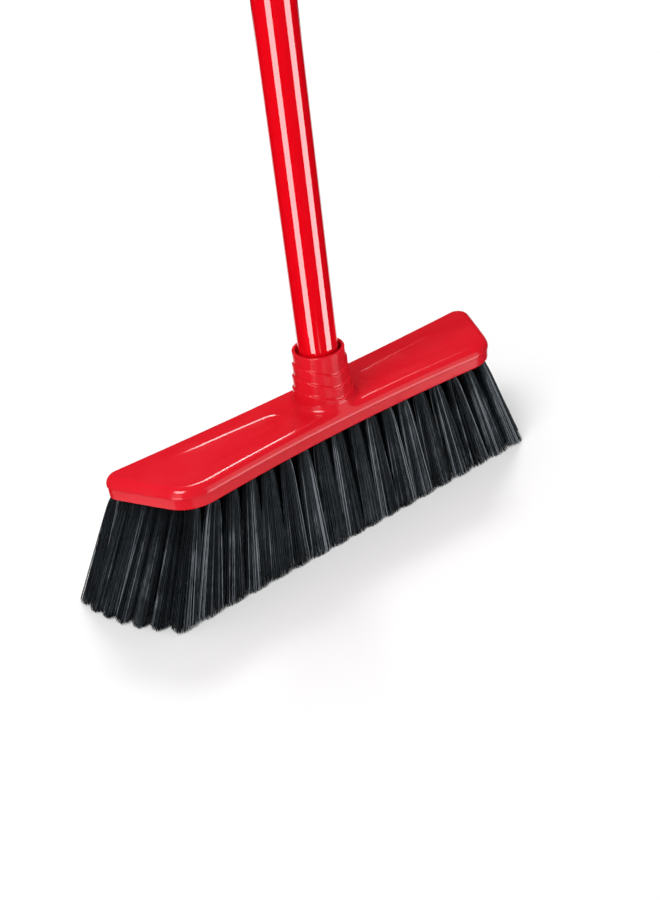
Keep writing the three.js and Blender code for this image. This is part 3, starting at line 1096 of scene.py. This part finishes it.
def add_bristles():
    rows = {}
    for tuft in TUFTS:
        rows.setdefault(tuft["row"], []).append(tuft)
    front, back = rows[0], rows[TUFT_ROWS - 1]
    middle = [rows[r] for r in range(1, TUFT_ROWS - 1)]
    inner = [t for line in middle for t in line[1:-1]]
    groups = []
    for side, line in (("front", front), ("back", back)):
        for n in range(len(line) // TUFTS_PER_PIECE):
            start = TUFTS_PER_PIECE * n
            end = start + TUFTS_PER_PIECE
            nodes = numbered(f"{side}_tuft", start + 1, end)
            groups.append((f"{side}_bristles_{n + 1}", line[start:end], nodes))
    for end, k in (("left", 0), ("right", -1)):
        nodes = numbered(f"{end}_end_tuft", 1, len(middle))
        groups.append((f"{end}_bristles", [line[k] for line in middle], nodes))
    for name, tufts, nodes in groups:
        mesh = bristle_mesh(name, tufts, **OUTER_FILAMENTS)
        link(name, mesh, BRISTLE, "head", nodes)
    for n, tufts in enumerate((inner[:INNER_SPLIT], inner[INNER_SPLIT:])):
        name = f"inner_bristles_{n + 1}"
        mesh = bristle_mesh(name, tufts, **INNER_FILAMENTS)
        link(name, mesh, BRISTLE, "head", ["inner_tufts"])


add_bristles()

# ---- Floor, light and camera ----

FLOOR_HALF = 40.0  # metres
FLOOR_STEPS = 8


def floor():
    shell = Shell()
    grid = np.linspace(-FLOOR_HALF, FLOOR_HALF, FLOOR_STEPS + 1)
    shell.points = [(x / MM, y / MM, 0) for y in grid for x in grid]
    row = FLOOR_STEPS + 1
    for j in range(FLOOR_STEPS):
        for i in range(FLOOR_STEPS):
            a = j * row + i
            shell.faces.append([a, a + 1, a + row + 1, a + row])
    mesh = mesh_from("floor", shell.points, shell.faces)
    s = Surface("floor", Specular_IOR_Level=0.0)
    tone = s.noise(3, 3, 0.5)
    colour = s.colours(tone, [(0.3, (0.93, 0.93, 0.93)), (0.7, (0.95, 0.95, 0.95))])
    roughness = s.vary(tone, 0.75, 0.85)
    grain = s.bump(s.noise(400, 2, 0.5), 0.02, 0.0002)
    mesh.materials.append(s.finish(colour, roughness, grain))
    obj = bpy.data.objects.new("floor", mesh)
    bpy.context.scene.collection.objects.link(obj)
    obj.visible_glossy = False  # or it would hide the gloss-only panels below it


def softbox(name, place, target, width, height, radiance, gloss_only=False):
    """A rectangular light; a gloss-only one shows in reflections and lights nothing else."""
    light = bpy.data.lights.new(name, "AREA")
    light.shape = "RECTANGLE"
    light.size = width
    light.size_y = height
    light.energy = radiance * math.pi * width * height
    obj = bpy.data.objects.new(name, light)
    bpy.context.scene.collection.objects.link(obj)
    obj.location = place
    aim = Vector(target) - Vector(place)
    obj.rotation_euler = aim.to_track_quat("-Z", "Y").to_euler()
    obj.visible_camera = False
    obj.visible_diffuse = not gloss_only


WORLD_GREYS = ((0.02, 0.85), (0.2, 0.74), (0.5, 0.56))  # between the horizon and the zenith


def world():
    """A pale sky that lights the scene and stays out of its reflections."""
    w = bpy.data.worlds.new("studio")
    w.use_nodes = True
    tree = w.node_tree
    back = tree.nodes["Background"]
    place = tree.nodes.new("ShaderNodeTexCoord")
    split = tree.nodes.new("ShaderNodeSeparateXYZ")
    tree.links.new(place.outputs["Generated"], split.inputs["Vector"])
    ramp = tree.nodes.new("ShaderNodeValToRGB")
    ramp.color_ramp.elements[0].position = 0.0
    ramp.color_ramp.elements[0].color = (0.85, 0.85, 0.85, 1)
    ramp.color_ramp.elements[1].position = 0.9
    ramp.color_ramp.elements[1].color = (0.42, 0.42, 0.42, 1)
    for position, grey in WORLD_GREYS:
        element = ramp.color_ramp.elements.new(position)
        element.color = (grey, grey, grey, 1)
    tree.links.new(split.outputs["Z"], ramp.inputs["Fac"])
    tree.links.new(ramp.outputs["Color"], back.inputs["Color"])
    back.inputs["Strength"].default_value = 1.08
    w.cycles_visibility.glossy = False
    bpy.context.scene.world = w


CAMERA_AZIMUTH, CAMERA_ELEVATION, CAMERA_ROLL = -0.60916, 0.546985, -0.12729  # radians
CAMERA_PLACE = (-0.33104, -0.47352, 0.39535)
CAMERA_LENS = 47.28
CAMERA_SENSOR = 36


def camera():
    azimuth, elevation, roll = CAMERA_AZIMUTH, CAMERA_ELEVATION, CAMERA_ROLL
    level = math.cos(elevation)
    forward = Vector(
        (-math.sin(azimuth) * level, math.cos(azimuth) * level, -math.sin(elevation))
    )
    right = Vector((math.cos(azimuth), math.sin(azimuth), 0))
    up = right.cross(forward)
    turned_right = math.cos(roll) * right + math.sin(roll) * up
    turned_up = -math.sin(roll) * right + math.cos(roll) * up
    data = bpy.data.cameras.new("camera")
    data.lens = CAMERA_LENS
    data.sensor_width = CAMERA_SENSOR
    obj = bpy.data.objects.new("camera", data)
    bpy.context.scene.collection.objects.link(obj)
    axes = Matrix((turned_right, turned_up, -forward)).transposed()
    obj.matrix_world = Matrix.Translation(CAMERA_PLACE) @ axes.to_4x4()
    bpy.context.scene.camera = obj


floor()
world()
camera()
bpy.context.scene.view_settings.view_transform = "Standard"
# Gloss-only panels: two bright strips, two dimmer ones above them and three lower down.
softbox("strip_left", (-3.70, -1.52, -1.16), (0, 0, -1.16), 2.0, 1.62, 3.4, True)
softbox("strip_right", (2.06, -3.42, -1.16), (0, 0, -1.16), 2.25, 1.62, 3.4, True)
softbox("upper_left", (-3.70, -1.52, 1.15), (0, 0, 1.15), 2.0, 3.0, 0.9, True)
softbox("upper_right", (2.06, -3.42, 1.15), (0, 0, 1.15), 2.25, 3.0, 0.9, True)
softbox("low_back", (2.6, 3.7, -2.2), (0, 0, 0), 6.5, 3.0, 0.8, True)
softbox("low_front", (1.0, -4.8, -3.8), (0, 0, -3.8), 8.0, 2.0, 0.45, True)
softbox("low_left", (-4.7, 1.0, -3.75), (0, 0, -3.75), 3.5, 2.0, 0.9, True)
# the light itself comes from overhead
softbox("overhead", (-3.45, -1.3, 5.1), (0, 0, 0.07), 2.5, 2.1, 12.3)
softbox("overhead_right", (2.6, 3.2, 5.0), (0, 0, 0.07), 1.8, 1.3, 14.5)
